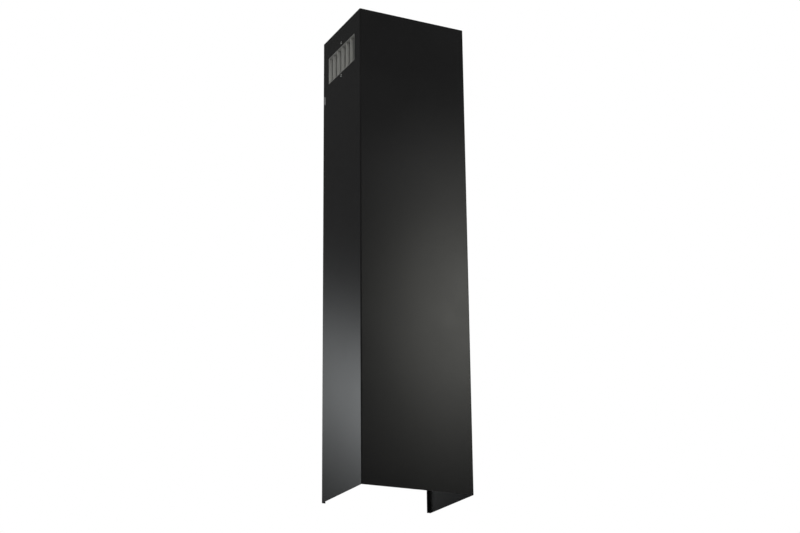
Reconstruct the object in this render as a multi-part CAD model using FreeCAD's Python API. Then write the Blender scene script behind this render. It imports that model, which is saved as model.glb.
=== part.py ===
import FreeCAD
import Part
import math
import os
from FreeCAD import Vector

# Cooker hood chimney section: a tall channel folded from one black steel sheet.
# It is open at the back, top and foot, and each side has an air outlet grille near the top.
# Frame: millimetres, +Z up, the front faces -Y and the wall is at +Y.
# The origin is the middle of the section's foot.

# Folded sheet
WIDTH = 240.0
DEPTH = 185.0
HEIGHT = 1000.0
SHEET = 0.8
BEND_INSIDE = 1.2
RETURN_FLANGE = 8.0

# Outlet window in each side, in the middle of the depth
WINDOW_WIDTH = 131.0
WINDOW_HEIGHT = 61.0
WINDOW_BELOW_TOP = 45.0
WINDOW_CORNER = 1.5

# A slot in each side and a notch in the return behind it, where the hooks of a wall bracket catch
HOOK_SLOT_WIDTH = 5.5
HOOK_SLOT_HEIGHT = 22.0
HOOK_SLOT_BELOW_TOP = 123.0
HOOK_SLOT_CORNER = 1.5
HOOK_LAND = 3.0

# Moulded outlet grille
GRILLE_DEPTH = 13.0
GRILLE_WALL = 1.6
GRILLE_SETBACK = 0.2
GRILLE_CLEARANCE = 0.4
PLATE_THICKNESS = 2.0
PLATE_LAP = 6.0
PLATE_CORNER = 3.0
EAR_TIP_WIDTH = 11.0
EAR_ROOT_WIDTH = 22.0
EAR_MARGIN = 5.0
VANES = 5
VANE_NOSE = 1.8
VANE_TAIL = 1.1
BOSS_DIAMETER = 7.0
BOSS_END = 1.5
GUSSET_THICKNESS = 1.2
GUSSET_SETBACK = 3.0

# Pan-head screws that hold the grille, above and below the window
SCREW_FROM_WINDOW = 7.5
SCREW_DIAMETER = 2.9
SCREW_LENGTH = 9.5
SCREW_POINT = 2.4
HEAD_DIAMETER = 5.6
HEAD_HEIGHT = 2.0
HEAD_RIM = 0.7
RECESS_WIDTH = 0.9
RECESS_SPAN = 3.2
RECESS_DEPTH = 1.1
SCREW_HOLE = 3.4
PILOT_CLEARANCE = 0.05

# A cutter reaches this far past the faces it opens
PAST = 1.0

PARTS_FOLDER = "parts"
INWARD = Vector(1, 0, 0)

window_centre_z = HEIGHT - WINDOW_BELOW_TOP - WINDOW_HEIGHT / 2
hook_slot_z = HEIGHT - HOOK_SLOT_BELOW_TOP - HOOK_SLOT_HEIGHT / 2
screw_rise = WINDOW_HEIGHT / 2 + SCREW_FROM_WINDOW
screw_heights = (-screw_rise, screw_rise)


def arc_round(before, corner, after, radius):
    """The start, middle and end of the arc that rounds a corner between two straight runs."""
    to_before = (before - corner).normalize()
    to_after = (after - corner).normalize()
    half_angle = to_before.getAngle(to_after) / 2
    setback = radius / math.tan(half_angle)
    bisector = (to_before + to_after).normalize()
    middle = corner + bisector * (radius / math.sin(half_angle) - radius)
    return corner + to_before * setback, middle, corner + to_after * setback


def run_and_arc_wire(start, arcs, end):
    """Straight runs from start to end, joined by the arcs."""
    edges = []
    for first, middle, last in arcs:
        edges.append(Part.LineSegment(start, first).toShape())
        edges.append(Part.Arc(first, middle, last).toShape())
        start = last
    if not start.isEqual(end, 1e-7):
        edges.append(Part.LineSegment(start, end).toShape())
    return Part.Wire(edges)


def folded_line(corners, radius):
    """An open line with every corner between its ends rounded."""
    arcs = [arc_round(*three, radius) for three in zip(corners, corners[1:], corners[2:])]
    return run_and_arc_wire(corners[0], arcs, corners[-1])


def rounded_face(corners, radius):
    """A flat face with all its corners rounded, the hollow ones too."""
    befores = corners[-1:] + corners[:-1]
    afters = corners[1:] + corners[:1]
    arcs = [arc_round(*three, radius) for three in zip(befores, corners, afters)]
    end_of_last_arc = arcs[-1][2]
    return Part.Face(run_and_arc_wire(end_of_last_arc, arcs, end_of_last_arc))


def side_rectangle(width, height, x):
    """The corners of an upright rectangle that faces along X, with its middle on the X axis."""
    half_width = width / 2
    half_height = height / 2
    return [
        Vector(x, -half_width, -half_height),
        Vector(x, half_width, -half_height),
        Vector(x, half_width, half_height),
        Vector(x, -half_width, half_height),
    ]


def folded_section():
    """The cross-section of the sheet: left return, left side, front, right side, right return."""
    half_width = WIDTH / 2
    half_depth = DEPTH / 2
    return_tip = half_width - RETURN_FLANGE
    outside = folded_line(
        [
            Vector(-return_tip, half_depth, 0),
            Vector(-half_width, half_depth, 0),
            Vector(-half_width, -half_depth, 0),
            Vector(half_width, -half_depth, 0),
            Vector(half_width, half_depth, 0),
            Vector(return_tip, half_depth, 0),
        ],
        BEND_INSIDE + SHEET,
    )
    join_by_arcs, fill, stay_open, meet = 0, True, True, False
    return outside.makeOffset2D(-SHEET, join_by_arcs, fill, stay_open, meet)


def across_both_sides(width, height, corner, middle):
    """A prism across the whole section that opens the same rounded rectangle in both sides."""
    reach = WIDTH + 2 * PAST
    outline = rounded_face(side_rectangle(width, height, -reach / 2), corner)
    prism = outline.extrude(INWARD * reach)
    prism.translate(middle)
    return prism


def window_cutter():
    """Opens the outlet windows."""
    middle = Vector(0, 0, window_centre_z)
    return across_both_sides(WINDOW_WIDTH, WINDOW_HEIGHT, WINDOW_CORNER, middle)


def screw_hole_cutters():
    """Drills across the whole section for the grille screws of both sides."""
    reach = WIDTH + 2 * PAST
    starts = [Vector(-reach / 2, 0, window_centre_z + rise) for rise in screw_heights]
    return [Part.makeCylinder(SCREW_HOLE / 2, reach, start, INWARD) for start in starts]


def hook_slot_cutters():
    """Opens a slot in each side and a notch in each return, and leaves the bend between them whole."""
    slot_middle = Vector(0, DEPTH / 2 - HOOK_LAND - HOOK_SLOT_WIDTH / 2, hook_slot_z)
    slots = across_both_sides(HOOK_SLOT_WIDTH, HOOK_SLOT_HEIGHT, HOOK_SLOT_CORNER, slot_middle)
    between_lands = WIDTH - 2 * HOOK_LAND
    through = SHEET + 2 * PAST
    corner = Vector(-between_lands / 2, DEPTH / 2 - SHEET - PAST, hook_slot_z - HOOK_SLOT_HEIGHT / 2)
    notches = Part.makeBox(between_lands, through, HOOK_SLOT_HEIGHT, corner)
    return [slots, notches]


def chimney_shell():
    """The folded sheet with its windows, screw holes and hook slots."""
    shell = folded_section().extrude(Vector(0, 0, HEIGHT))
    return shell.cut([window_cutter(), *screw_hole_cutters(), *hook_slot_cutters()])


# The grille and its screws are drawn on an outlet frame: its origin is the middle of the window
# on the outside of the sheet, +X points into the section, and Y and Z are those of the section.

def mounting_plate():
    """The plate behind the sheet, with an ear above and below for the screws."""
    half_width = WINDOW_WIDTH / 2 + PLATE_LAP
    half_height = WINDOW_HEIGHT / 2 + PLATE_LAP
    ear_tip = screw_rise + EAR_MARGIN
    upper = [
        Vector(SHEET, half_width, half_height),
        Vector(SHEET, EAR_ROOT_WIDTH / 2, half_height),
        Vector(SHEET, EAR_TIP_WIDTH / 2, ear_tip),
        Vector(SHEET, -EAR_TIP_WIDTH / 2, ear_tip),
        Vector(SHEET, -EAR_ROOT_WIDTH / 2, half_height),
        Vector(SHEET, -half_width, half_height),
    ]
    lower = [Vector(p.x, -p.y, -p.z) for p in upper]
    return rounded_face(upper + lower, PLATE_CORNER).extrude(INWARD * PLATE_THICKNESS)


def spigot(inset, start, end, corner):
    """A rounded block that passes through the window, smaller than it by the inset on each side."""
    outline = side_rectangle(WINDOW_WIDTH - 2 * inset, WINDOW_HEIGHT - 2 * inset, start)
    return rounded_face(outline, corner).extrude(INWARD * (end - start))


def vane(y):
    """An upright blade with a round nose outside, tapering to its tail inside."""
    half_nose = VANE_NOSE / 2
    half_tail = VANE_TAIL / 2
    shoulder = GRILLE_SETBACK + half_nose
    foot = -WINDOW_HEIGHT / 2 + GRILLE_CLEARANCE + GRILLE_WALL / 2
    nose_start = Vector(shoulder, y - half_nose, foot)
    nose_tip = Vector(GRILLE_SETBACK, y, foot)
    nose_end = Vector(shoulder, y + half_nose, foot)
    tail_end = Vector(GRILLE_DEPTH, y + half_tail, foot)
    tail_start = Vector(GRILLE_DEPTH, y - half_tail, foot)
    section = Part.Wire([
        Part.Arc(nose_start, nose_tip, nose_end).toShape(),
        Part.LineSegment(nose_end, tail_end).toShape(),
        Part.LineSegment(tail_end, tail_start).toShape(),
        Part.LineSegment(tail_start, nose_start).toShape(),
    ])
    return Part.Face(section).extrude(Vector(0, 0, -2 * foot))


def screw_boss(rise):
    """A post behind an ear, with a gusset that ties it to the spigot's wall."""
    end = SCREW_LENGTH + BOSS_END
    post = Part.makeCylinder(BOSS_DIAMETER / 2, end - SHEET, Vector(SHEET, 0, rise), INWARD)
    wall = WINDOW_HEIGHT / 2 - GRILLE_CLEARANCE - GRILLE_WALL / 2
    lower, upper = sorted((math.copysign(wall, rise), rise))
    corner = Vector(SHEET, -GUSSET_THICKNESS / 2, lower)
    gusset = Part.makeBox(end - GUSSET_SETBACK - SHEET, GUSSET_THICKNESS, upper - lower, corner)
    return post.fuse(gusset)


def pilot_hole(rise):
    """The hole in a boss, drawn at the size of the screw's thread."""
    radius = SCREW_DIAMETER / 2 + PILOT_CLEARANCE
    return Part.makeCylinder(radius, SCREW_LENGTH + PILOT_CLEARANCE, Vector(0, 0, rise), INWARD)


def outlet_grille():
    """The one-piece moulding: plate, spigot, bosses and the row of vanes."""
    inset = GRILLE_CLEARANCE
    inner_inset = GRILLE_CLEARANCE + GRILLE_WALL
    outer_corner = WINDOW_CORNER - GRILLE_CLEARANCE
    body = mounting_plate().fuse(spigot(inset, GRILLE_SETBACK, GRILLE_DEPTH, outer_corner))
    body = body.fuse([screw_boss(rise) for rise in screw_heights])
    mouth = spigot(inner_inset, GRILLE_SETBACK - PAST, GRILLE_DEPTH + PAST, outer_corner / 2)
    body = body.cut([mouth, *(pilot_hole(rise) for rise in screw_heights)])
    pitch = WINDOW_WIDTH / (VANES + 1)
    vanes = [vane((place + 1) * pitch - WINDOW_WIDTH / 2) for place in range(VANES)]
    return body.fuse(vanes).removeSplitter()


def grille_screw(rise):
    """A pan-head screw with a cross recess, its head on the outside of the sheet."""
    head_radius = HEAD_DIAMETER / 2
    shank_radius = SCREW_DIAMETER / 2
    crown_height = HEAD_HEIGHT - HEAD_RIM
    crown_radius = (head_radius**2 + crown_height**2) / (2 * crown_height)
    half_way = math.asin(head_radius / crown_radius) / 2
    crown_middle = Vector(
        -HEAD_HEIGHT + crown_radius * (1 - math.cos(half_way)),
        crown_radius * math.sin(half_way),
        0,
    )
    crown_tip = Vector(-HEAD_HEIGHT, 0, 0)
    rim_top = Vector(-HEAD_RIM, head_radius, 0)
    straight = [
        rim_top,
        Vector(0, head_radius, 0),
        Vector(0, shank_radius, 0),
        Vector(SCREW_LENGTH - SCREW_POINT, shank_radius, 0),
        Vector(SCREW_LENGTH, 0, 0),
        crown_tip,
    ]
    crown = Part.Arc(crown_tip, crown_middle, rim_top).toShape()
    profile = Part.Face(Part.Wire([crown, *Part.makePolygon(straight).Edges]))
    screw = profile.revolve(Vector(0, 0, 0), INWARD, 360)
    start = -HEAD_HEIGHT - PAST
    depth = RECESS_DEPTH + PAST
    for across, up in ((RECESS_SPAN, RECESS_WIDTH), (RECESS_WIDTH, RECESS_SPAN)):
        screw = screw.cut(Part.makeBox(depth, across, up, Vector(start, -across / 2, -up / 2)))
    screw.translate(Vector(0, 0, rise))
    return screw


def grille_screws():
    """The two screws of one grille, as separate solids."""
    return Part.makeCompound([grille_screw(rise) for rise in screw_heights])


def on_left(shape):
    """A copy of an outlet piece on the left side of the section."""
    placed = shape.copy()
    placed.translate(Vector(-WIDTH / 2, 0, window_centre_z))
    return placed


def on_right(shape):
    """A copy of an outlet piece turned half round, on the right side of the section."""
    placed = shape.copy()
    placed.rotate(Vector(0, 0, 0), Vector(0, 0, 1), 180)
    placed.translate(Vector(WIDTH / 2, 0, window_centre_z))
    return placed


def main():
    grille = outlet_grille()
    screws = grille_screws()
    nodes = {
        "chimney_shell": chimney_shell(),
        "left_outlet_grille": on_left(grille),
        "right_outlet_grille": on_right(grille),
        "left_grille_screws": on_left(screws),
        "right_grille_screws": on_right(screws),
    }
    os.makedirs(PARTS_FOLDER, exist_ok=True)
    for name, shape in nodes.items():
        shape.exportStep(f"{PARTS_FOLDER}/{name}.step")
        solids = [round(solid.Volume, 1) for solid in shape.Solids]
        print(name, "valid" if shape.isValid() else "NOT VALID", "solids, mm3:", solids)


main()
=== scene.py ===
# %% [markdown]
# # A black chimney section for a cooker hood
# The chimney hides the duct above a cooker hood. This section is a tall channel folded from one
# steel sheet and painted satin black, open at the back, the top and the foot. Near the top of
# each side a window lets the cleaned air out, through a grey moulded grille that two small screws
# hold from outside. The solids come first, because every piece below is made to their size and
# stands in their place.

# %% Load the solids
import bmesh
import bpy
import math
from mathutils import Matrix, Vector


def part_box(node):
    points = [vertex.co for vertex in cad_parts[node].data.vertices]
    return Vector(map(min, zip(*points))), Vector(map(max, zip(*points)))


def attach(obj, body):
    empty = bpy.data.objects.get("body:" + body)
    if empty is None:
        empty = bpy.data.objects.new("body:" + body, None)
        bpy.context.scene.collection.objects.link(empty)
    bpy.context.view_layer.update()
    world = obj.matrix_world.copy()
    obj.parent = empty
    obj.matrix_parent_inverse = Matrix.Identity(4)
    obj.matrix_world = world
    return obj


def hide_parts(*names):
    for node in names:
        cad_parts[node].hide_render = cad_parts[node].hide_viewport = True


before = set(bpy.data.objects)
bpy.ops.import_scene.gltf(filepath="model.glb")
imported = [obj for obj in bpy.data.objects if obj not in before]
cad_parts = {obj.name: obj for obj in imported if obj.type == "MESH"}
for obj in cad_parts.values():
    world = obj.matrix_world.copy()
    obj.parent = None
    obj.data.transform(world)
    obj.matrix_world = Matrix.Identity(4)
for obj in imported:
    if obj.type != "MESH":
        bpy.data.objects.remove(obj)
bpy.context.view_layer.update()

MM = 0.001
shell_low, shell_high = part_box("chimney_shell")
left, right = shell_low.x, shell_high.x
front, back = shell_low.y, shell_high.y
foot, top = shell_low.z, shell_high.z
width, depth, height = shell_high - shell_low
print("sheet channel", [round(size / MM, 1) for size in (width, depth, height)], "mm")

# %% [markdown]
# ## The folded sheet
# On a press brake the flat blank is bent four times: two front corners, then a narrow return
# along each rear edge. It could be a box with a wall cut away, but a box has no bend radius and
# no sheet edge. So this piece is folded the way the real one is, and it starts as the front
# panel: one plane, stood upright and stretched to size. Its place and size go into its mesh, so
# that later steps can be told in real places.

# %% Stand the front panel
def leave_edit():
    """Go back to object mode."""
    if bpy.context.mode != "OBJECT":
        bpy.ops.object.mode_set(mode="OBJECT")


def start_alone():
    """Leave edit mode and deselect everything, the solids too."""
    leave_edit()
    bpy.ops.object.select_all(action="DESELECT")


def settle(name):
    """Name the active piece and put its place, turn and size into its mesh."""
    bpy.ops.object.transform_apply(location=True, rotation=True, scale=True)
    piece = bpy.context.active_object
    piece.name = name
    piece.data.name = name
    return piece


upright = (math.pi / 2, 0, 0)
start_alone()
bpy.ops.mesh.primitive_plane_add(
    size=1, location=(0, front, (foot + top) / 2), rotation=upright
)
bpy.context.active_object.scale = (width, height, 1)
channel = settle("folded_channel")
print("front panel", round(width / MM, 1), "by", round(height / MM, 1), "mm")

# %% [markdown]
# ## Choose by place, then shape
# A modeller clicks on an edge and then uses a tool on it. Code can't click, so each step here is
# two moves: choose the corners, edges or faces whose middle lies at a known place, then let an
# operator act on them. Index numbers would be shorter to write, but they change with every cut,
# and a place stays true.

# %% Open the channel for editing
def focus(piece):
    """Make a piece the only one selected."""
    start_alone()
    piece.select_set(True)
    bpy.context.view_layer.objects.active = piece


def edit(piece):
    """Open a piece in edit mode with all its corners selected."""
    focus(piece)
    bpy.ops.object.mode_set(mode="EDIT")
    bpy.ops.mesh.select_mode(type="VERT")
    bpy.ops.mesh.select_all(action="SELECT")


def count_faces(piece):
    """How many faces a piece has while it is open."""
    return len(bmesh.from_edit_mesh(piece.data).faces)


edit(channel)
print("the channel starts with", count_faces(channel), "face")

# %% [markdown]
# ## The choosing
# A test gets the middle of a part and the part itself, and says whether to select it. It is
# written in words such as near and runs along, so that each choice below reads like a sentence.
# The number of chosen parts comes back, because a choice that finds nothing is the commonest
# mistake.

# %% Choose parts by their place
def middle_of(part):
    """The middle of a corner, an edge or a face."""
    if isinstance(part, bmesh.types.BMVert):
        return part.co
    return sum((corner.co for corner in part.verts), Vector()) / len(part.verts)


def choose(piece, kind, test):
    """In edit mode, select the VERT, EDGE or FACE parts that pass a test, and count them."""
    bpy.ops.mesh.select_mode(type=kind)
    bpy.ops.mesh.select_all(action="DESELECT")
    mesh = bmesh.from_edit_mesh(piece.data)
    parts = {"VERT": mesh.verts, "EDGE": mesh.edges, "FACE": mesh.faces}[kind]
    chosen = [part for part in parts if test(middle_of(part), part)]
    for part in chosen:
        part.select_set(True)
    bmesh.update_edit_mesh(piece.data)
    return len(chosen)


corners = choose(channel, "VERT", lambda place, corner: place.z > foot)
print(corners, "corners of the front panel lie above the foot")

# %% [markdown]
# ## Sides and returns
# The two upright edges of the front panel are extruded back to make the sides, and the new rear
# edges inwards to make the returns that lie against the wall. Extruding keeps the sheet in one
# piece, where three planes pushed together would have no shared edge to bend.

# %% Extrude the sides and the returns
RETURN_FLANGE = 8.0 * MM
SAME_PLACE = 0.01 * MM
PARALLEL = 0.99
UP = 2


def near(value, target):
    """Whether two places agree to a hundredth of a millimetre."""
    return abs(value - target) < SAME_PLACE


def runs_along(edge, axis):
    """Whether an edge is parallel to an axis, given as 0, 1 or 2."""
    along = edge.verts[1].co - edge.verts[0].co
    return abs(along[axis]) > PARALLEL * along.length


def extrude(move):
    """Extrude what is chosen along a vector."""
    bpy.ops.mesh.extrude_region_move(TRANSFORM_OT_translate={"value": move})


for side, inward in ((left, 1), (right, -1)):
    choose(channel, "EDGE", lambda middle, edge: near(middle.x, side) and runs_along(edge, UP))
    extrude((0, depth, 0))
    choose(channel, "EDGE", lambda middle, edge: near(middle.x, side) and near(middle.y, back))
    extrude((inward * RETURN_FLANGE, 0, 0))
bpy.ops.mesh.select_all(action="SELECT")
bpy.ops.mesh.normals_make_consistent(inside=False)
print("the channel has", count_faces(channel), "flat panels")

# %% [markdown]
# ## The bends
# Sheet can't fold sharp: the outside of a bend takes a radius of two or three times its
# thickness. Bevelling the four fold lines gives that radius while the channel is still a thin
# surface. On black paint the bend matters more than its size suggests, because its reflection
# sweeps round the whole room in a few pixels.

# %% Round the four folds
BEND_OUTSIDE = 2.0 * MM
BEND_STEPS = 8
ROUND_PROFILE = 0.5


def on_fold(middle, edge):
    """Whether an edge is one of the four fold lines."""
    across = near(middle.x, left) or near(middle.x, right)
    along = near(middle.y, front) or near(middle.y, back)
    return across and along and runs_along(edge, UP)


def round_off(radius, steps, affect="EDGES"):
    """Round the chosen edges, or single corner points with VERTICES."""
    bpy.ops.mesh.bevel(offset=radius, segments=steps, profile=ROUND_PROFILE, affect=affect)


folds = choose(channel, "EDGE", on_fold)
round_off(BEND_OUTSIDE, BEND_STEPS)
leave_edit()
print(folds, "folds of", round(BEND_OUTSIDE / MM, 2), "mm outside radius")

# %% [markdown]
# ## Windows, screw holes and hook slots
# Each side has a window for the grille with a screw hole above and below it. Near each rear bend
# a slot in the side and a notch in the return take a hook of the wall bracket. The bend between
# them stays whole, so the edge keeps its strength. Before anything is cut, the edges of all the
# openings are worked out from the solids, so that the same values can place the grille and its
# screws later.

# %% Measure where the openings lie
WINDOW_WIDTH = 131.0 * MM
WINDOW_HEIGHT = 61.0 * MM
SCREW_HOLE = 3.4 * MM
SCREW_FROM_WINDOW = 7.5 * MM
HOOK_SLOT_WIDTH = 5.5 * MM
HOOK_SLOT_HEIGHT = 22.0 * MM
HOOK_SLOT_BELOW_TOP = 123.0 * MM
HOOK_LAND = 3.0 * MM

grille_low, grille_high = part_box("left_outlet_grille")
outlet_z = (grille_low.z + grille_high.z) / 2
half_window = WINDOW_WIDTH / 2
window_foot = outlet_z - WINDOW_HEIGHT / 2
window_head = outlet_z + WINDOW_HEIGHT / 2
half_hole = SCREW_HOLE / 2
screw_heights = (window_foot - SCREW_FROM_WINDOW, window_head + SCREW_FROM_WINDOW)
hole_edges = [rise + shift for rise in screw_heights for shift in (-half_hole, half_hole)]
slot_head = top - HOOK_SLOT_BELOW_TOP
slot_foot = slot_head - HOOK_SLOT_HEIGHT
slot_rear = back - HOOK_LAND
slot_front = slot_rear - HOOK_SLOT_WIDTH
notch_reach = right - HOOK_LAND
print("window", round((top - window_head) / MM, 1), "mm below the top")
print("screws", [round(rise / MM, 1) for rise in screw_heights], "mm above the foot")

# %% [markdown]
# ## Cut lines
# The openings are punched in the flat blank, so they are cut here while the sheet has no
# thickness. A Boolean would need a closed solid to cut. The bisect operator needs only a plane,
# and draws a line through the channel along each edge of an opening.

# %% Slice the sheet along the openings
def slice_all(point, normal):
    """Cut the whole piece along a plane, without taking anything away."""
    bpy.ops.mesh.select_all(action="SELECT")
    bpy.ops.mesh.bisect(plane_co=point, plane_no=normal)


edit(channel)
for z in (slot_foot, slot_head, window_foot, window_head, *hole_edges):
    slice_all((0, 0, z), (0, 0, 1))
for y in (-half_window, -half_hole, half_hole, half_window, slot_front, slot_rear):
    slice_all((0, y, 0), (0, 1, 0))
for x in (-notch_reach, notch_reach):
    slice_all((x, 0, 0), (1, 0, 0))
print("the sliced channel has", count_faces(channel), "faces")

# %% [markdown]
# ## Round corners
# A punch has round corners, because a sharp one would start a crack. A vertex bevel rounds a
# single point within the sheet. A square whose corners are rounded by half its side becomes the
# round screw hole, so one tool makes all three kinds of opening.

# %% Round the corners of the openings
WINDOW_CORNER = 1.5 * MM
HOOK_SLOT_CORNER = 1.5 * MM
CORNER_STEPS = 6


def at_corner(place, depths, heights):
    """Whether a point on a side is a corner of an opening with these edges."""
    on_side = near(place.x, left) or near(place.x, right)
    at_depth = any(near(place.y, y) for y in depths)
    return on_side and at_depth and any(near(place.z, z) for z in heights)


for depths, heights, radius in (
    ((-half_window, half_window), (window_foot, window_head), WINDOW_CORNER),
    ((-half_hole, half_hole), hole_edges, half_hole),
    ((slot_front, slot_rear), (slot_foot, slot_head), HOOK_SLOT_CORNER),
):
    corners = choose(channel, "VERT", lambda place, corner: at_corner(place, depths, heights))
    round_off(radius, CORNER_STEPS, affect="VERTICES")
    print(corners, "corners of", round(radius / MM, 2), "mm radius")

# %% [markdown]
# ## The punch
# What lies inside the openings is now a set of faces of its own, chosen by place once more and
# deleted. Corners that the bevels left on each other are merged, because a doubled corner would
# open a crack in the sheet when it gets its thickness.

# %% Punch the openings out
MERGE_DISTANCE = 0.001 * MM
SIDEWAYS = 0.9


def in_opening(middle, face):
    """Whether a face lies in a window, a screw hole, a hook slot or a notch."""
    on_side = abs(face.normal.x) > SIDEWAYS
    if slot_foot < middle.z < slot_head:
        in_slot = on_side and slot_front < middle.y < slot_rear
        in_notch = near(middle.y, back) and abs(middle.x) < notch_reach
        return in_slot or in_notch
    if window_foot < middle.z < window_head:
        return on_side and abs(middle.y) < half_window
    in_hole = any(abs(middle.z - rise) < half_hole / 2 for rise in screw_heights)
    return in_hole and on_side and abs(middle.y) < half_hole / 2


def merge_doubles():
    """In edit mode, merge corners that lie on each other."""
    bpy.ops.mesh.select_all(action="SELECT")
    bpy.ops.mesh.remove_doubles(threshold=MERGE_DISTANCE)


punched = choose(channel, "FACE", in_opening)
bpy.ops.mesh.delete(type="FACE")
merge_doubles()
leave_edit()
print(punched, "faces punched out of the sheet")

# %% [markdown]
# ## Thickness
# Real sheet has two faces and a cut edge between them. A second, smaller channel could be joined
# in by hand, but the Solidify modifier does it evenly round every bend and opening. It grows the
# sheet inwards, so the outside stays where the solids have it.

# %% Give the sheet its thickness
SHEET = 0.8 * MM


def apply_modifier(piece, kind, **settings):
    """Add a modifier with its settings and apply it at once."""
    focus(piece)
    modifier = piece.modifiers.new(kind.title(), kind)
    for name, value in settings.items():
        setattr(modifier, name, value)
    bpy.ops.object.modifier_apply(modifier=modifier.name)


def report(piece):
    """Print how large a piece is and how many faces it has."""
    corners = [piece.matrix_world @ Vector(corner) for corner in piece.bound_box]
    size = [max(c[axis] for c in corners) - min(c[axis] for c in corners) for axis in range(3)]
    faces = len(piece.data.polygons)
    print(piece.name, [round(side / MM, 2) for side in size], "mm,", faces, "faces")


apply_modifier(channel, "SOLIDIFY", thickness=SHEET, offset=-1, use_even_offset=True)
report(channel)

# %% [markdown]
# ## Painted edges
# Paint rounds every cut edge a little, which is what makes a black edge show as a thin bright
# line. A small bevel on the sharp edges gives that. Smooth shading alone would then bend the
# light across the large panels, so weighted normals let the big flat faces decide, and the panels
# stay flat beside their bends.

# %% Round the painted edges
PAINTED_EDGE = 0.15 * MM
SHARP = math.radians(40)
FLATS_FIRST = 100


def soften_edges(piece, radius):
    """Round every sharp edge of a piece by a small radius."""
    apply_modifier(
        piece, "BEVEL", width=radius, segments=2, limit_method="ANGLE", angle_limit=SHARP
    )


def smooth_flats(piece):
    """Smooth the round faces and keep the flat ones flat."""
    focus(piece)
    bpy.ops.object.shade_smooth_by_angle(angle=SHARP)
    apply_modifier(piece, "WEIGHTED_NORMAL", keep_sharp=True, weight=FLATS_FIRST)


soften_edges(channel, PAINTED_EDGE)
smooth_flats(channel)
report(channel)

# %% [markdown]
# ## The outlet grille
# The grille is one moulding: a plate behind the sheet with an ear above and below, a spigot that
# stands out through the window, and upright vanes across it. Pulled from a single block it would
# be hard to change, so it grows step by step, each step a block or a rod that is joined in. The
# plate comes first. It is a block that laps the window all round.

# %% Mould the plate
PLATE_THICKNESS = 2.0 * MM
PLATE_LAP = 6.0 * MM


def add_block(name, low, high):
    """A cube primitive stretched between two corners."""
    start_alone()
    low, high = Vector(low), Vector(high)
    bpy.ops.mesh.primitive_cube_add(size=1, location=(low + high) / 2)
    bpy.context.active_object.scale = high - low
    return settle(name)


sheet_inside = left + SHEET
plate_half = half_window + PLATE_LAP
plate_foot, plate_head = window_foot - PLATE_LAP, window_head + PLATE_LAP
plate_low = (sheet_inside, -plate_half, plate_foot)
plate_high = (sheet_inside + PLATE_THICKNESS, plate_half, plate_head)
grille = add_block("grille", plate_low, plate_high)
report(grille)

# %% [markdown]
# ## The ears
# The plate has an ear above and below for a screw. Each is the middle of the plate's upper or
# lower face, extruded and narrowed to the tip, so plate and ears are one flat part without a
# seam. Two more blocks joined in would do too, but their slanted sides would have to be cut. Then
# all the corners are rounded alike.

# %% Extrude the ears
EAR_TIP_WIDTH = 11.0 * MM
EAR_ROOT_WIDTH = 22.0 * MM
PLATE_CORNER = 3.0 * MM
INWARD = 0

edit(grille)
for y in (-EAR_ROOT_WIDTH / 2, EAR_ROOT_WIDTH / 2):
    slice_all((0, y, 0), (0, 1, 0))
for root, tip in ((plate_foot, grille_low.z), (plate_head, grille_high.z)):
    choose(grille, "FACE", lambda middle, face: near(middle.z, root) and near(middle.y, 0))
    extrude((0, 0, tip - root))
    bpy.ops.transform.resize(value=(1, EAR_TIP_WIDTH / EAR_ROOT_WIDTH, 1))

corner_ys = (plate_half, EAR_ROOT_WIDTH / 2, EAR_TIP_WIDTH / 2)


def on_plate_corner(middle, edge):
    """Whether an edge across the plate stands at one of its outer corners."""
    return runs_along(edge, INWARD) and any(near(abs(middle.y), y) for y in corner_ys)


choose(grille, "EDGE", on_plate_corner)
round_off(PLATE_CORNER, CORNER_STEPS)
leave_edit()
report(grille)

# %% [markdown]
# ## The spigot
# The spigot is a rectangular tube that centres the grille in its window, with a small gap all
# round. Here it is a solid block at first, and its mouth is cut later. Boolean unions make the
# moulding one closed skin, as plastic in a mould would be, where loose blocks pushed into each
# other would leave hidden faces.

# %% Stand the spigot in the window
GRILLE_CLEARANCE = 0.4 * MM
SPIGOT_CORNER = WINDOW_CORNER - GRILLE_CLEARANCE


def through_window(name, inset, start, end, corner):
    """A block that fits in the window with a gap all round, its corners rounded."""
    half_y = half_window - inset
    half_z = WINDOW_HEIGHT / 2 - inset
    low = (start, -half_y, outlet_z - half_z)
    high = (end, half_y, outlet_z + half_z)
    block = add_block(name, low, high)
    edit(block)
    choose(block, "EDGE", lambda middle, edge: runs_along(edge, INWARD))
    round_off(corner, CORNER_STEPS)
    leave_edit()
    return block


def work_in(piece, tools, operation):
    """Add the tools to a piece (UNION) or cut them out of it (DIFFERENCE), and clear them away."""
    for tool in tools:
        apply_modifier(piece, "BOOLEAN", operation=operation, solver="EXACT", object=tool)
        bpy.data.objects.remove(tool)


spigot = through_window("spigot", GRILLE_CLEARANCE, grille_low.x, grille_high.x, SPIGOT_CORNER)
work_in(grille, [spigot], "UNION")
report(grille)

# %% [markdown]
# ## Bosses and gussets
# A thin plate can't hold a screw, so a round post stands behind each ear for the screw to bite
# in, and a thin web ties it to the spigot. The sheet hides both from the front, but from behind
# and through the open foot they show, so they are made. A cylinder and a thin block are all they
# need, joined in by the same union.

# %% Set a boss behind each ear
GRILLE_WALL = 1.6 * MM
BOSS_RADIUS = 3.5 * MM
BOSS_DEPTH = 11.0 * MM
GUSSET_THICKNESS = 1.2 * MM
GUSSET_SETBACK = 3.0 * MM
ROUND_SIDES = 32

boss_end = left + BOSS_DEPTH
mid_wall = WINDOW_HEIGHT / 2 - GRILLE_CLEARANCE - GRILLE_WALL / 2


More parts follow.
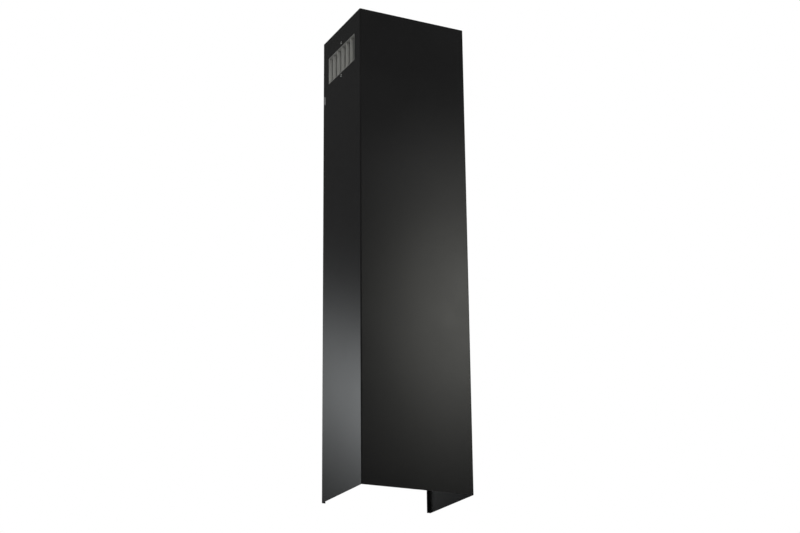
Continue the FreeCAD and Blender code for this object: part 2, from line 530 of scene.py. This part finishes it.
def add_rod(name, start, length, radius):
    """A cylinder primitive along X."""
    start_alone()
    middle = Vector(start) + Vector((length / 2, 0, 0))
    quarter_turn = (0, math.pi / 2, 0)
    bpy.ops.mesh.primitive_cylinder_add(
        vertices=ROUND_SIDES, radius=radius, depth=length, location=middle, rotation=quarter_turn
    )
    return settle(name)


def boss(z):
    """A post behind an ear."""
    return add_rod("boss", (sheet_inside, 0, z), boss_end - sheet_inside, BOSS_RADIUS)


def gusset(z):
    """A thin web from a boss to the middle of the spigot's wall."""
    half = GUSSET_THICKNESS / 2
    low_z, high_z = sorted((z, outlet_z + math.copysign(mid_wall, z - outlet_z)))
    low = (sheet_inside, -half, low_z)
    high = (boss_end - GUSSET_SETBACK, half, high_z)
    return add_block("gusset", low, high)


posts = [make(z) for z in screw_heights for make in (boss, gusset)]
work_in(grille, posts, "UNION")
report(grille)

# %% [markdown]
# ## Mouth and pilot holes
# One block, smaller than the spigot by its wall, opens the way for the air. Two rods make the
# blind holes that the screws have cut their thread in. Each tool reaches a little past the face
# it leaves by, because a Boolean with two faces in one plane can leave a film between them.

# %% Open the mouth and the pilot holes
PILOT_RADIUS = 1.5 * MM
PILOT_CLEARANCE = 0.05 * MM
PAST = 1.0 * MM

screw_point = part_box("left_grille_screws")[1].x


def pilot(z):
    """The blind hole for one screw."""
    length = screw_point + PILOT_CLEARANCE - left
    return add_rod("pilot", (left, 0, z), length, PILOT_RADIUS)


mouth_inset = GRILLE_CLEARANCE + GRILLE_WALL
mouth = through_window(
    "mouth", mouth_inset, grille_low.x - PAST, grille_high.x + PAST, SPIGOT_CORNER / 2
)
work_in(grille, [mouth, *(pilot(z) for z in screw_heights)], "DIFFERENCE")
report(grille)

# %% [markdown]
# ## The vanes
# Each vane is an upright blade. It starts as a block between the spigot's walls. Bevelling its
# two outer edges by half its thickness makes the round nose, and narrowing its inner end makes
# the taper that lets the moulding leave its mould.

# %% Shape one vane
VANE_NOSE = 1.8 * MM
VANE_TAIL = 1.1 * MM
NOSE_STEPS = 10

half_nose = VANE_NOSE / 2
vane_low = (grille_low.x, -half_nose, outlet_z - mid_wall)
vane_high = (grille_high.x, half_nose, outlet_z + mid_wall)
first_vane = add_block("vane", vane_low, vane_high)
edit(first_vane)
choose(first_vane, "FACE", lambda middle, face: near(middle.x, grille_high.x))
bpy.ops.transform.resize(value=(1, VANE_TAIL / VANE_NOSE, 1))


def on_nose(middle, edge):
    """Whether an edge is one of the blade's two upright outer edges."""
    return near(middle.x, grille_low.x) and runs_along(edge, UP)


choose(first_vane, "EDGE", on_nose)
round_off(half_nose, NOSE_STEPS)
merge_doubles()
leave_edit()
report(first_vane)

# %% [markdown]
# ## A row of vanes
# All vanes of a moulding are the same, so one blade is copied at an even pitch. An Array modifier
# would do it too, but the copies are joined in one by one, and separate blades are what the
# Boolean union takes.

# %% Copy the vane along the window
VANES = 5

vane_pitch = WINDOW_WIDTH / (VANES + 1)
vanes = [first_vane]
for _ in range(VANES - 1):
    focus(first_vane)
    bpy.ops.object.duplicate()
    vanes.append(bpy.context.active_object)
for place, blade in enumerate(vanes):
    focus(blade)
    blade.location.y = (place + 1) * vane_pitch - half_window
    bpy.ops.object.transform_apply(location=True)
work_in(grille, vanes, "UNION")
print(VANES, "vanes", round(vane_pitch / MM, 1), "mm apart")
report(grille)

# %% [markdown]
# ## Moulded edges and the other side
# A mould has no sharp edge, inside or out. One bevel over the joined skin rounds them all, also
# where a vane meets the wall, which no bevel on the separate blocks could do. The same moulding
# serves both sides of the channel, turned half round the upright axis, so the right one is a
# copy.

# %% Round the moulded edges and copy the grille
MOULDED_EDGE = 0.2 * MM

soften_edges(grille, MOULDED_EDGE)
smooth_flats(grille)


def copy_to_right(piece, name):
    """A copy turned half round the upright axis, for the other side of the channel."""
    focus(piece)
    bpy.ops.object.duplicate()
    bpy.context.active_object.rotation_euler.z = math.pi
    return settle(name)


grille.name = "left_grille"
right_grille = copy_to_right(grille, "right_grille")
report(grille)
report(right_grille)

# %% [markdown]
# ## The screws
# A pan-head screw is a turned part, so its outline is drawn once, from the crown's middle round
# the head and along the shank to the point. The crown is an arc of the circle that passes through
# the rim, and it is worked out here so that head height and head radius can be set by themselves.

# %% Draw half a screw
HEAD_RADIUS = 2.8 * MM
HEAD_HEIGHT = 2.0 * MM
HEAD_RIM = 0.7 * MM
SHANK_RADIUS = 1.45 * MM
POINT = 2.4 * MM
CROWN_STEPS = 6

crown_height = HEAD_HEIGHT - HEAD_RIM
crown_radius = (HEAD_RADIUS**2 + crown_height**2) / (2 * crown_height)
crown_angle = math.asin(HEAD_RADIUS / crown_radius)
crown_top = left - HEAD_HEIGHT


def screw_outline():
    """Points of the outline above the X axis, from the crown to the point."""
    crown = []
    for step in range(CROWN_STEPS + 1):
        turn = crown_angle * step / CROWN_STEPS
        fall = crown_radius * (1 - math.cos(turn))
        crown.append((crown_top + fall, crown_radius * math.sin(turn)))
    shank_end = screw_point - POINT
    rest = [(left, HEAD_RADIUS), (left, SHANK_RADIUS), (shank_end, SHANK_RADIUS), (screw_point, 0)]
    return [Vector((x, radius, 0)) for x, radius in crown + rest]


outline = screw_outline()
print("screw outline of", len(outline), "points, crown radius", round(crown_radius / MM, 2), "mm")

# %% [markdown]
# ## On the lathe
# The outline is drawn by extruding a single point from place to place. The Screw modifier, with
# no rise, then turns it round the X axis like a lathe. The Spin operator could do the same, but
# the modifier also joins the points on the axis and builds its faces in the same order each time,
# which the cut for the recess needs.

# %% Turn a screw
SPIN_STEPS = 32


def turn_screw(z):
    """A plain turned screw with its axis at a height on the left side."""
    start_alone()
    bpy.ops.mesh.primitive_plane_add(size=MM, location=outline[0])
    screw = settle("screw")
    edit(screw)
    bpy.ops.mesh.merge(type="CENTER")
    for here, there in zip(outline, outline[1:]):
        extrude(there - here)
    apply_modifier(
        screw,
        "SCREW",
        axis="X",
        angle=2 * math.pi,
        steps=SPIN_STEPS,
        render_steps=SPIN_STEPS,
        use_merge_vertices=True,
        merge_threshold=MERGE_DISTANCE,
    )
    edit(screw)
    bpy.ops.mesh.normals_make_consistent(inside=False)
    leave_edit()
    screw.location.z = z
    return settle("screw")


screws = [turn_screw(z) for z in screw_heights]
for screw in screws:
    report(screw)

# %% [markdown]
# ## The cross recess
# A punch drives the cross into the head, and narrows towards its bottom so that it comes out
# again. It is made as one cross-shaped block: a square bar with an arm extruded from each side,
# its two ends scaled to the taper. Two crossed bars would look the same, but their end faces
# would lie in one plane, and a Boolean can go wrong there.

# %% Shape the recess punch
RECESS_WIDTH = 0.9 * MM
RECESS_SPAN = 3.2 * MM
RECESS_DEPTH = 1.1 * MM
RECESS_TAPER = 0.6

recess_bottom = crown_top + RECESS_DEPTH
punch_start = crown_top - PAST
punch_flare = 1 + (1 - RECESS_TAPER) * PAST / RECESS_DEPTH
FOUR_WAYS = (Vector((0, 1, 0)), Vector((0, -1, 0)), Vector((0, 0, 1)), Vector((0, 0, -1)))


def recess_punch(z):
    """A cross of the stated size at the crown, narrower at the bottom of the recess."""
    half = RECESS_WIDTH / 2
    arm = (RECESS_SPAN - RECESS_WIDTH) / 2
    centre = Vector(((punch_start + recess_bottom) / 2, 0, z))
    punch = add_block("punch", (punch_start, -half, z - half), (recess_bottom, half, z + half))
    edit(punch)
    for out in FOUR_WAYS:
        side = centre + out * half
        choose(punch, "FACE", lambda middle, face: near((middle - side).length, 0))
        extrude(out * arm)
    for end, scale in ((punch_start, punch_flare), (recess_bottom, RECESS_TAPER)):
        choose(punch, "FACE", lambda middle, face: near(middle.x, end))
        bpy.ops.transform.resize(value=(1, scale, scale))
    leave_edit()
    return punch


print("recess", round(RECESS_SPAN / MM, 1), "mm across,", round(RECESS_DEPTH / MM, 1), "mm deep")

# %% [markdown]
# ## Two screws at each window
# The recess is cut, the edges are rounded as plating leaves them, and the two screws of a window
# are joined in one object, because they are one node of the solids. The pair for the right side
# is a copy turned half round.

# %% Cut the recesses and copy the screws
HEAD_EDGE = 0.12 * MM

for screw, z in zip(screws, screw_heights):
    work_in(screw, [recess_punch(z)], "DIFFERENCE")
    soften_edges(screw, HEAD_EDGE)
start_alone()
for screw in screws:
    screw.select_set(True)
bpy.context.view_layer.objects.active = screws[0]
bpy.ops.object.join()
left_screws = settle("left_screws")
smooth_flats(left_screws)
right_screws = copy_to_right(left_screws, "right_screws")
report(left_screws)
report(right_screws)

# %% [markdown]
# ## Writing finishes as sums
# A finish is a small network of nodes. Linking them one by one hides the idea, so a wrapped
# socket is written like a number: each operator adds its Math node, and a whole recipe fits on
# one line.

# %% Wrap a socket so that it can be written in sums
class Value:
    """A socket that can be written in sums."""

    def __init__(self, finish, socket):
        self.finish = finish
        self.socket = socket

    def sum(self, operation, first, second):
        """Add a Math node."""
        maths = self.finish.add("ShaderNodeMath", {"operation": operation}, {0: first, 1: second})
        return maths["Value"]

    def __add__(self, other):
        return self.sum("ADD", self, other)

    def __radd__(self, other):
        return self.sum("ADD", other, self)

    def __sub__(self, other):
        return self.sum("SUBTRACT", self, other)

    def __rsub__(self, other):
        return self.sum("SUBTRACT", other, self)

    def __mul__(self, other):
        return self.sum("MULTIPLY", self, other)

    def __rmul__(self, other):
        return self.sum("MULTIPLY", other, self)

    def __truediv__(self, other):
        return self.sum("DIVIDE", self, other)

    def __rpow__(self, other):
        return self.sum("POWER", other, self)

    def __gt__(self, other):
        return self.sum("GREATER_THAN", self, other)

    def least(self, other):
        return self.sum("MINIMUM", self, other)

    def clamped(self, low, high):
        return self.sum("MAXIMUM", self, low).least(high)


print("a wrapped socket can be written with + - * / ** and >")

# %% [markdown]
# ## A finish and its nodes
# Every node comes from one method, which takes the node's kind, its settings and what goes into
# its sockets. A wrapped socket is linked and a plain value is set on the socket itself, so the
# recipes below need not tell the two apart. Some nodes have several sockets of one name, so a
# socket's identifier works as well as its name.

# %% Add every node by one method
class Finish:
    """The node tree of a material or the world."""

    def __init__(self, owner):
        owner.use_nodes = True
        self.tree = owner.node_tree
        self.tree.nodes.clear()

    def add(self, kind, settings=None, sockets=None):
        """Add a node: settings first, then values or links by socket name or number."""
        node = self.tree.nodes.new(kind)
        for name, value in (settings or {}).items():
            setattr(node, name, value)
        by_identifier = {socket.identifier: socket for socket in node.inputs}
        for name, value in (sockets or {}).items():
            socket = by_identifier.get(name) or node.inputs[name]
            if isinstance(value, Value):
                self.tree.links.new(value.socket, socket)
            else:
                socket.default_value = value
        identified = {socket.identifier: Value(self, socket) for socket in node.outputs}
        return {**{socket.name: Value(self, socket) for socket in node.outputs}, **identified}


print("the solids came with", [material.name for material in bpy.data.materials])

# %% [markdown]
# ## Building blocks
# These are the few steps that all the materials share: noise in real sizes, bumps in real
# heights, a mix of two colours and the Principled shader. Noise reads Object coordinates, which
# are metres on the piece, so a grain keeps its size whatever it is put on. Generated coordinates
# would stretch it with the piece.

# %% Make the building blocks of a coating
class Coating(Finish):
    """The node tree of a material, with the steps that all materials share."""

    def place(self):
        """Object coordinates, in metres."""
        return self.add("ShaderNodeTexCoord")["Object"]

    def axes(self):
        """Object coordinates, one by one."""
        return self.add("ShaderNodeSeparateXYZ", {}, {"Vector": self.place()})

    def noise(self, grain, detail=2.0, stretch=(1, 1, 1)):
        """Noise with grains about as large as given, in metres, and its mean at a half."""
        sockets = {"Vector": self.place(), "Scale": stretch}
        place = self.add("ShaderNodeMapping", {}, sockets)["Vector"]
        sockets = {"Vector": place, "Scale": 1 / grain, "Detail": detail}
        return self.add("ShaderNodeTexNoise", {}, sockets)["Fac"]

    def bump(self, heights, distance, strength=1.0, below=None):
        """A bump whose heights are shares of the distance."""
        sockets = {"Height": heights, "Distance": distance, "Strength": strength}
        if below:
            sockets["Normal"] = below
        return self.add("ShaderNodeBump", {}, sockets)["Normal"]

    def mix(self, share, first, second):
        """A colour between two colours."""
        sockets = {"Factor_Float": share, "A_Color": first, "B_Color": second}
        return self.add("ShaderNodeMix", {"data_type": "RGBA"}, sockets)["Result_Color"]

    def surface(self, **sockets):
        """The Principled shader, joined to the output."""
        named = {name.replace("_", " "): value for name, value in sockets.items()}
        shader = self.add("ShaderNodeBsdfPrincipled", {}, named)["BSDF"]
        self.show(shader)

    def show(self, shader):
        """Join a shader to the material's output."""
        self.add("ShaderNodeOutputMaterial", {}, {"Surface": shader})


def new_coating(name):
    """An empty material and its node tree."""
    material = bpy.data.materials.new(name)
    return material, Coating(material)


def grey(level):
    """A colour with the same share of red, green and blue."""
    return (level, level, level, 1)


steps = [name for name in vars(Coating) if not name.startswith("_")]
print("steps of a coating:", ", ".join(steps))

# %% [markdown]
# ## Satin black paint
# Baked enamel on steel is nearly black by itself, and what the eye sees is the room in it. So the
# colour stays very dark, and the care goes into the gloss: a little variation in roughness, the
# fine orange peel that sprayed paint dries to, and a slow waviness, because no large thin panel
# is truly flat. Such sheet has its good face outside. The inside gets a thin backing coat that
# dries dull, so it is much rougher: the inside is whatever lies deeper than half the sheet below
# all four outer faces.

# %% Mix the black paint
PAINT_DARK = (0.0049, 0.0049, 0.0051, 1)
PAINT_PALE = grey(0.0063)
PAINT_IOR = 1.5
PAINT_ROUGHNESS = 0.17
CLOUD_ROUGHER = 0.04
PEEL_ROUGHER = 0.02
INSIDE_ROUGHER = 0.45
CLOUD_SIZE = 60 * MM
PEEL_SIZE, PEEL_HEIGHT = 1.6 * MM, 0.01 * MM
WAVE_SIZE, WAVE_HEIGHT = 240 * MM, 0.4 * MM


def black_paint():
    """Satin outside, dull inside."""
    material, finish = new_coating("satin_black_paint")
    axes = finish.axes()
    x, y = axes["X"], axes["Y"]
    below_face = (x - left).least(right - x).least(y - front).least(back - y)
    inside = below_face > SHEET / 2
    peel = finish.noise(PEEL_SIZE, detail=1.0)
    cloud = finish.noise(CLOUD_SIZE, detail=3.0)
    wave = finish.noise(WAVE_SIZE, detail=1.0)
    wavy = finish.bump(wave, WAVE_HEIGHT)
    worn = CLOUD_ROUGHER * cloud + PEEL_ROUGHER * peel
    finish.surface(
        Base_Color=finish.mix(cloud, PAINT_DARK, PAINT_PALE),
        Roughness=PAINT_ROUGHNESS + worn + INSIDE_ROUGHER * inside,
        IOR=PAINT_IOR,
        Normal=finish.bump(peel, PEEL_HEIGHT, strength=0.6, below=wavy),
    )
    return material


paint = black_paint()
print(paint.name, "with", len(paint.node_tree.nodes), "nodes")

# %% [markdown]
# ## Grey moulding
# The grille is through-dyed plastic. An etched mould gives it a fine matt grain, and the melt
# leaves slow streaks of slightly different grey where it flowed, so one noise is as fine as the
# grain and feeds the bump and the roughness, and a coarse one only tints the colour.

# %% Mix the grey plastic
PLASTIC_DARK = (0.150, 0.150, 0.141, 1)
PLASTIC_PALE = (0.178, 0.178, 0.167, 1)
PLASTIC_IOR = 1.49
PLASTIC_ROUGHNESS = 0.50
GRAIN_ROUGHER = 0.10
GRAIN_SIZE, GRAIN_HEIGHT = 0.45 * MM, 0.03 * MM
FLOW_SIZE = 25 * MM


def grey_plastic():
    """Matt, with a fine grain."""
    material, finish = new_coating("matt_grey_plastic")
    grain = finish.noise(GRAIN_SIZE)
    flow = finish.noise(FLOW_SIZE)
    finish.surface(
        Base_Color=finish.mix(flow, PLASTIC_DARK, PLASTIC_PALE),
        Roughness=PLASTIC_ROUGHNESS + GRAIN_ROUGHER * grain,
        IOR=PLASTIC_IOR,
        Normal=finish.bump(grain, GRAIN_HEIGHT, strength=0.5),
    )
    return material


plastic = grey_plastic()
print(plastic.name, "with", len(plastic.node_tree.nodes), "nodes")

# %% [markdown]
# ## Zinc plate
# The screws are steel with dull zinc plating: a metal, so it has no colour but that of its
# reflections. A little roughness, faint marks of the tool and patches of tarnish keep it from
# looking like chrome.

# %% Mix the zinc
ZINC_DARK = (0.38, 0.38, 0.37, 1)
ZINC_PALE = (0.52, 0.52, 0.51, 1)
ZINC_ROUGHNESS = 0.28
MARK_ROUGHER = 0.14
MARK_SIZE, MARK_HEIGHT = 0.25 * MM, 0.01 * MM
MARK_STRETCH = (3, 1, 1)
TARNISH_SIZE = 2.5 * MM


def zinc_plate():
    """Dull metal with fine tool marks."""
    material, finish = new_coating("dull_zinc_plate")
    marks = finish.noise(MARK_SIZE, stretch=MARK_STRETCH)
    tarnish = finish.noise(TARNISH_SIZE)
    finish.surface(
        Base_Color=finish.mix(tarnish, ZINC_DARK, ZINC_PALE),
        Metallic=1.0,
        Roughness=ZINC_ROUGHNESS + MARK_ROUGHER * marks,
        Normal=finish.bump(marks, MARK_HEIGHT, strength=0.5),
    )
    return material


zinc = zinc_plate()
print(zinc.name, "with", len(zinc.node_tree.nodes), "nodes")

# %% [markdown]
# ## Dressing the pieces
# Each finished piece gets its material and takes the place of its solid: it rides on the same
# body and hides the solid from view. The solids stay as they are for collision, so what is seen
# and what is touched keep the same size.

# %% Let the pieces stand for the solids
dressing = (
    (channel, "chimney_shell", paint, "black_paint"),
    (grille, "left_outlet_grille", plastic, "grey_plastic"),
    (right_grille, "right_outlet_grille", plastic, "grey_plastic"),
    (left_screws, "left_grille_screws", zinc, "zinc_steel"),
    (right_screws, "right_grille_screws", zinc, "zinc_steel"),
)
for piece, node, material, slot in dressing:
    piece.data.materials.clear()
    piece.data.materials.append(material)
    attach(piece, "root")
    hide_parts(node)
    print(piece.name, "stands for", node, "in", material.name)

# %% [markdown]
# ## A pale floor
# The section stands on a matt floor that fades to the white of the background away from it, so no
# horizon shows. The camera looks up from below, so the floor is seen from above only: from below
# it is clear. That takes one Mix Shader on whether a face is seen from its back, and no camera
# trick.

# %% Lay the floor
FLOOR_SIZE = 30.0
FLOOR_DROP = 0.5 * MM
FLOOR_DARK, FLOOR_PALE = grey(0.80), grey(0.82)
FLOOR_SPECK = 12 * MM
FADE_START = 1.2
FADE_END = 4.0
WHITE = grey(1)


def pale_floor():
    """Matt near the section, white far away, clear from below."""
    material, finish = new_coating("pale_floor")
    length = {"operation": "LENGTH"}
    away = finish.add("ShaderNodeVectorMath", length, {0: finish.place()})["Value"]
    fade = ((away - FADE_START) / (FADE_END - FADE_START)).clamped(0, 1)
    shade = finish.mix(finish.noise(FLOOR_SPECK, detail=3.0), FLOOR_DARK, FLOOR_PALE)
    matt = finish.add("ShaderNodeBsdfDiffuse", {}, {"Color": shade})["BSDF"]
    glow = {"Color": WHITE, "Strength": 1.0}
    white = finish.add("ShaderNodeEmission", {}, glow)["Emission"]
    ground = finish.add("ShaderNodeMixShader", {}, {0: fade, 1: matt, 2: white})["Shader"]
    clear = finish.add("ShaderNodeBsdfTransparent")["BSDF"]
    under = finish.add("ShaderNodeNewGeometry")["Backfacing"]
    finish.show(finish.add("ShaderNodeMixShader", {}, {0: under, 1: ground, 2: clear})["Shader"])
    return material


start_alone()
bpy.ops.mesh.primitive_plane_add(size=FLOOR_SIZE, location=(0, 0, foot - FLOOR_DROP))
floor = settle("floor")
floor.data.materials.append(pale_floor())
print("floor", FLOOR_SIZE, "m wide, white from", FADE_END, "m")

# %% [markdown]
# ## A white background
# The background is plain white where the camera sees it. As a lamp all round, full white would
# wash out the shade between the vanes, so for soft light it is turned down. The Light Path node
# tells the two apart.

# %% Set the background
AMBIENT = 0.50

world = bpy.data.worlds.new("white_studio")
bpy.context.scene.world = world
sky = Finish(world)
path = sky.add("ShaderNodeLightPath")
straight = path["Is Camera Ray"] + path["Is Glossy Ray"] + path["Is Transmission Ray"]
strength = AMBIENT + (1 - AMBIENT) * straight.clamped(0, 1)
backdrop = sky.add("ShaderNodeBackground", {}, {"Color": WHITE, "Strength": strength})
sky.add("ShaderNodeOutputWorld", {}, {"Surface": backdrop["Background"]})
print("soft light from all round at", AMBIENT, "of the white background")

# %% [markdown]
# ## A dark wall for the reflections
# Black paint is lit by what it mirrors, so a photographer stands dark cards round it and puts
# soft pools of light on them. Flat cards would show their edges as lines in the paint. Here the
# cards are one round wall, and each pool falls off smoothly, as a bell curve in its turn round
# the wall and in its height.

# %% Describe a pool of light
class Pool:
    """A soft pool of light, given by its turn round the section, its height, size and tint."""

    def __init__(self, turn, height, half_turn, half_height, peak, lean=0.0, tint=(1, 1, 1)):
        self.toward = (math.cos(math.radians(turn)), math.sin(math.radians(turn)))
        self.height = height
        self.narrowness = 2 / math.radians(half_turn) ** 2
        self.half_height = half_height
        self.peak = peak
        self.lean = lean
        self.tint = tint

    def light(self, x, y, z):
        """The light at a place on the wall: x and y in wall radii, z in metres."""
        ahead = x * self.toward[0] + y * self.toward[1]
        aside = y * self.toward[0] - x * self.toward[1]
        rise = (z - self.height - self.lean * aside) / self.half_height
        return self.peak * math.e ** ((ahead - 1) * self.narrowness - rise * rise)


COOL = (0.96, 1, 1.02)
WARM = (1, 1, 0.93)
POOLS = (
    Pool(turn=130, height=0.588, half_turn=13, half_height=0.236, peak=2.95, lean=-1.35, tint=COOL),
    Pool(turn=120, height=1.60, half_turn=45, half_height=1.60, peak=0.035),
    Pool(turn=-60.4, height=1.115, half_turn=4.0, half_height=0.363, peak=4.02, tint=WARM),
    Pool(turn=-55, height=2.42, half_turn=14, half_height=0.36, peak=0.16),
    Pool(turn=-63.5, height=1.65, half_turn=7, half_height=0.09, peak=0.56),
)
print(len(POOLS), "pools, the brightest at", max(pool.peak for pool in POOLS))

# %% [markdown]
# ## The wall
# A cool pool stands where the left side looks and a warm one where the front panel looks. Wide,
# faint pools higher up lift the upper half of each panel a little, and a flat strip between the
# two in front ends the dark of the front panel's top. The shader starts from the dark of the wall
# and adds each pool in its tint, where a painted picture would do the same in fixed pixels.

# %% Light the wall
WALL_RADIUS = 2.4
WALL_DARK = 0.06


def wall_light():
    """Dark everywhere, with the pools added."""
    material, finish = new_coating("wall_light")
    axes = finish.axes()
    x, y = axes["X"] / WALL_RADIUS, axes["Y"] / WALL_RADIUS
    colour = (WALL_DARK, WALL_DARK, WALL_DARK)
    for pool in POOLS:
        light = {0: pool.tint, "Scale": pool.light(x, y, axes["Z"])}
        tinted = finish.add("ShaderNodeVectorMath", {"operation": "SCALE"}, light)["Vector"]
        both = {0: colour, 1: tinted}
        colour = finish.add("ShaderNodeVectorMath", {"operation": "ADD"}, both)["Vector"]
    glow = {"Color": colour, "Strength": 1.0}
    finish.show(finish.add("ShaderNodeEmission", {}, glow)["Emission"])
    return material


lit_wall = wall_light()
print(lit_wall.name, "with", len(lit_wall.node_tree.nodes), "nodes")

# %% [markdown]
# ## Standing the wall
# The wall is a cylinder without ends, with the section in its middle. The camera stands outside
# it, so the wall is hidden from the camera. It is hidden from soft light too, and throws no
# shadow, so it changes the gloss of the paint and nothing else.

# %% Stand the wall
WALL_FOOT = -0.8
WALL_HEAD = 3.8
WALL_SIDES = 96

start_alone()
bpy.ops.mesh.primitive_cylinder_add(
    vertices=WALL_SIDES,
    radius=WALL_RADIUS,
    depth=WALL_HEAD - WALL_FOOT,
    end_fill_type="NOTHING",
    location=(0, 0, (WALL_FOOT + WALL_HEAD) / 2),
)
wall = settle("reflected_wall")
wall.data.materials.append(lit_wall)
for ray in ("camera", "diffuse", "transmission", "volume_scatter", "shadow"):
    setattr(wall, f"visible_{ray}", False)
print("wall", 2 * WALL_RADIUS, "m across,", round(WALL_HEAD - WALL_FOOT, 2), "m tall")

# %% [markdown]
# ## Lamps
# A soft lamp in front, a little to the left, rakes across the grille, so that each vane shades
# the next. A second one from above fills the rest, and a narrow spot with a soft edge lights the
# rear foot of the grille more than its front. A single lamp head-on would be simpler, but it
# would fill the gaps between the vanes and make them look flat. The lamps light matt surfaces
# only, and leave the gloss to the wall.

# %% Hang the lamps
def hang_lamp(name, kind, place, aim, **settings):
    """A lamp that points at a spot and lights matt surfaces only."""
    lamp = bpy.data.lights.new(name, kind)
    for setting, value in settings.items():
        setattr(lamp, setting, value)
    holder = bpy.data.objects.new(name, lamp)
    holder.location = place
    holder.rotation_euler = (Vector(aim) - Vector(place)).to_track_quat("-Z", "Y").to_euler()
    holder.visible_camera = False
    holder.visible_glossy = False
    bpy.context.scene.collection.objects.link(holder)
    print(name, "hangs at", place, "with", lamp.energy, "W")


section_middle = (0, 0, (foot + top) / 2)
grille_rear_foot = (left, half_window, window_foot)
hang_lamp("front_lamp", "AREA", place=(-0.9, -2.8, 1.9), aim=section_middle, size=0.6, energy=26)
hang_lamp("top_lamp", "AREA", place=(0.6, 0.6, 3.4), aim=section_middle, size=1.6, energy=50)
hang_lamp(
    "grille_spot",
    "SPOT",
    place=(-0.95, -2.4, 0.2),
    aim=grille_rear_foot,
    spot_size=math.radians(3.8),
    spot_blend=1.0,
    shadow_soft_size=0.1,
    energy=290,
)

# %% [markdown]
# ## The camera
# The camera stands low, to the left of the front, and looks up, so the upright edges draw
# together. Its place and turns were found by laying the straight edges of the section over those
# in the photograph. The turns are multiplied in the order in which a tripod makes them, pan, tilt
# and roll, which is clearer than one set of Euler angles. The focal length is kept in pixels,
# because that is what such a fit gives.

# %% Set the camera
IMAGE_WIDTH = 800
FOCAL_PIXELS = 1787.0
SENSOR = 36.0
CAMERA_PLACE = (-1.5089, -3.0783, -0.7480)
CAMERA_TURN = -26.288
CAMERA_RISE = 19.724
CAMERA_ROLL = -0.622
LEVEL = 90

lens = bpy.data.cameras.new("camera")
lens.sensor_width = SENSOR
lens.lens = SENSOR * FOCAL_PIXELS / IMAGE_WIDTH
camera = bpy.data.objects.new("camera", lens)
camera.matrix_world = (
    Matrix.Translation(CAMERA_PLACE)
    @ Matrix.Rotation(math.radians(CAMERA_TURN), 4, "Z")
    @ Matrix.Rotation(math.radians(LEVEL + CAMERA_RISE), 4, "X")
    @ Matrix.Rotation(math.radians(CAMERA_ROLL), 4, "Z")
)
bpy.context.scene.collection.objects.link(camera)
bpy.context.scene.camera = camera
bpy.context.scene.view_settings.view_transform = "Standard"
print("lens", round(lens.lens, 2), "mm on a", SENSOR, "mm sensor")

# %% [markdown]
